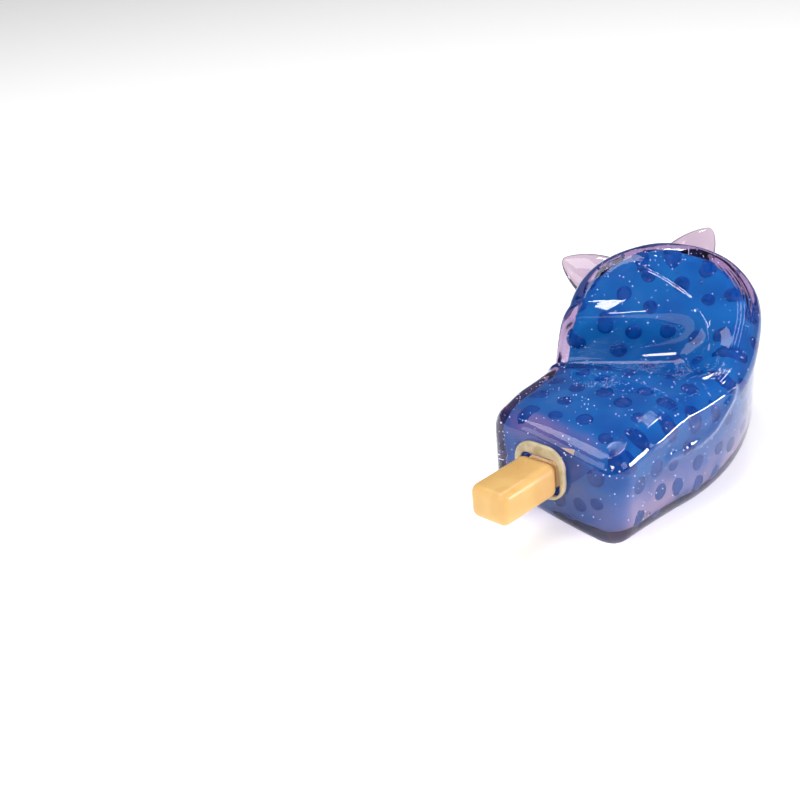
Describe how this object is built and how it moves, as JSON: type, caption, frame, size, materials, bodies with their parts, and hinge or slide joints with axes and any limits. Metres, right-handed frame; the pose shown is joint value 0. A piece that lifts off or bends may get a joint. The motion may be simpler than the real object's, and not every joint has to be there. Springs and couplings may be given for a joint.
{
  "type": "ice-pop water-bead squeeze toy",
  "caption": "Clear soft ice-pop shaped squeeze toy with two cat ears, filled with blue water beads, on a short yellow stick; stored bent as a squeezing hand leaves it.",
  "frame": {"origin": "on the flat back of the stick half, under its middle, where the toy rests", "axes": "+Z out of the front of the stick half, +Y along the body away from the stick, +X across the body to its right"},
  "size_m": [0.0705, 0.1204, 0.0606],
  "materials": {
    "clear_skin": "clear glossy soft rubber with a faint lilac tint",
    "yellow_stick": "smooth satin pale yellow plastic",
    "pale_collar": "milky pale yellow, translucent",
    "blue_bead": "wet water-swollen gel, deep translucent blue"
  },
  "bodies": {
    "stick_half": {"skin_stick_half": "clear_skin", "skin_waist": "clear_skin", "stick_collar": "pale_collar", "inner_plate": "pale_collar", "fill_plug": "pale_collar", "bead_stick_01": "blue_bead", "bead_stick_02": "blue_bead", "bead_stick_03": "blue_bead", "bead_stick_04": "blue_bead", "bead_stick_05": "blue_bead", "bead_stick_06": "blue_bead", "bead_stick_07": "blue_bead", "bead_stick_08": "blue_bead", "bead_stick_09": "blue_bead", "bead_stick_10": "blue_bead", "bead_stick_11": "blue_bead", "bead_stick_12": "blue_bead", "bead_stick_13": "blue_bead", "bead_stick_14": "blue_bead", "bead_stick_15": "blue_bead", "bead_stick_16": "blue_bead", "bead_stick_17": "blue_bead", "bead_stick_18": "blue_bead", "bead_stick_19": "blue_bead", "bead_stick_20": "blue_bead", "bead_stick_21": "blue_bead", "bead_stick_22": "blue_bead"},
    "eared_half": {"skin_eared_half": "clear_skin", "bead_eared_01": "blue_bead", "bead_eared_02": "blue_bead", "bead_eared_03": "blue_bead", "bead_eared_04": "blue_bead", "bead_eared_05": "blue_bead", "bead_eared_06": "blue_bead", "bead_eared_07": "blue_bead", "bead_eared_08": "blue_bead", "bead_eared_09": "blue_bead", "bead_eared_10": "blue_bead", "bead_eared_11": "blue_bead", "bead_eared_12": "blue_bead", "bead_eared_13": "blue_bead", "bead_eared_14": "blue_bead", "bead_eared_15": "blue_bead", "bead_eared_16": "blue_bead", "bead_eared_17": "blue_bead", "bead_eared_18": "blue_bead", "bead_eared_19": "blue_bead", "bead_eared_20": "blue_bead", "bead_eared_21": "blue_bead", "bead_eared_22": "blue_bead"},
    "neck": {"stick_neck": "yellow_stick"},
    "stick": {"stick": "yellow_stick"},
    "ear_left": {"ear_left": "clear_skin"},
    "ear_right": {"ear_right": "clear_skin"}
  },
  "joints": [
    {"name": "fold", "type": "hinge", "parent": "stick_half", "child": "eared_half", "pos_m": [-0.00275, 0.036, 0.01883], "axis": [0.7798, 0.2799, 0.5599], "range_deg": [-66, 6], "deforming": ["skin_waist"]},
    {"name": "stick_sway", "type": "hinge", "parent": "stick_half", "child": "neck", "pos_m": [-0.001, -0.02, 0.0175], "axis": [0, 0, 1], "range_deg": [-8, 8], "stiffness_Nm_per_rad": 0.08},
    {"name": "stick_nod", "type": "hinge", "parent": "neck", "child": "stick", "pos_m": [-0.001, -0.02, 0.0175], "axis": [1, 0, 0], "range_deg": [-8, 8], "stiffness_Nm_per_rad": 0.08},
    {"name": "ear_left_flex", "type": "hinge", "parent": "eared_half", "child": "ear_left", "pos_m": [-0.03096, 0.04587, 0.04718], "axis": [0.3939, 0.7849, 0.4782], "range_deg": [-18, 18], "stiffness_Nm_per_rad": 0.01},
    {"name": "ear_right_flex", "type": "hinge", "parent": "eared_half", "child": "ear_right", "pos_m": [-0.01149, 0.06522, 0.05049], "axis": [0.8483, 0.4678, -0.2479], "range_deg": [-18, 18], "stiffness_Nm_per_rad": 0.01}
  ]
}
